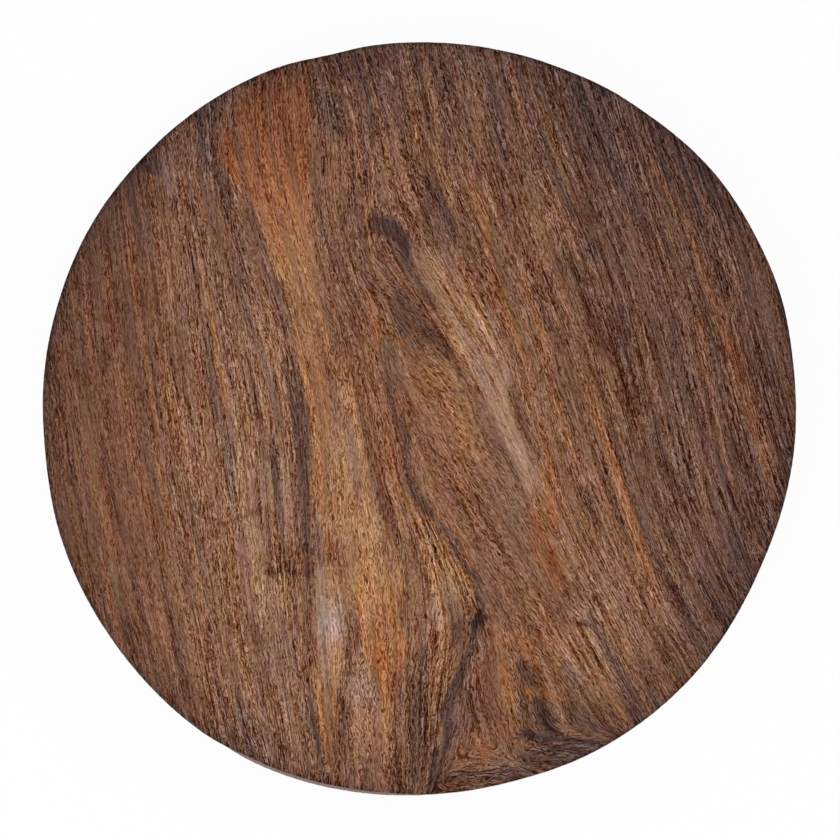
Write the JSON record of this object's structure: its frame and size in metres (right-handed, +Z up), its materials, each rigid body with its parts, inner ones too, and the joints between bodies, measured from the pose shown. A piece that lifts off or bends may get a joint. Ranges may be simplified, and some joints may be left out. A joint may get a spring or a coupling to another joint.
{
  "type": "round cutting board",
  "caption": "Round wooden cutting board sawn from one slab of dark figured hardwood, with eased edges and a slightly irregular hand-cut outline.",
  "frame": {"origin": "middle of the underside's bounding box, on the surface that the board lies on", "axes": "+Z up out of the cutting face; +Y along the grain, towards the top of the picture; +X to the right of the picture"},
  "size_m": [0.339, 0.3398, 0.025],
  "materials": {
    "oiled_hardwood": "dark brown figured hardwood, sanded and thinly oiled, with paler dry end grain on the wall"
  },
  "bodies": {
    "root": {"board_slab": "oiled_hardwood"}
  },
  "joints": []
}
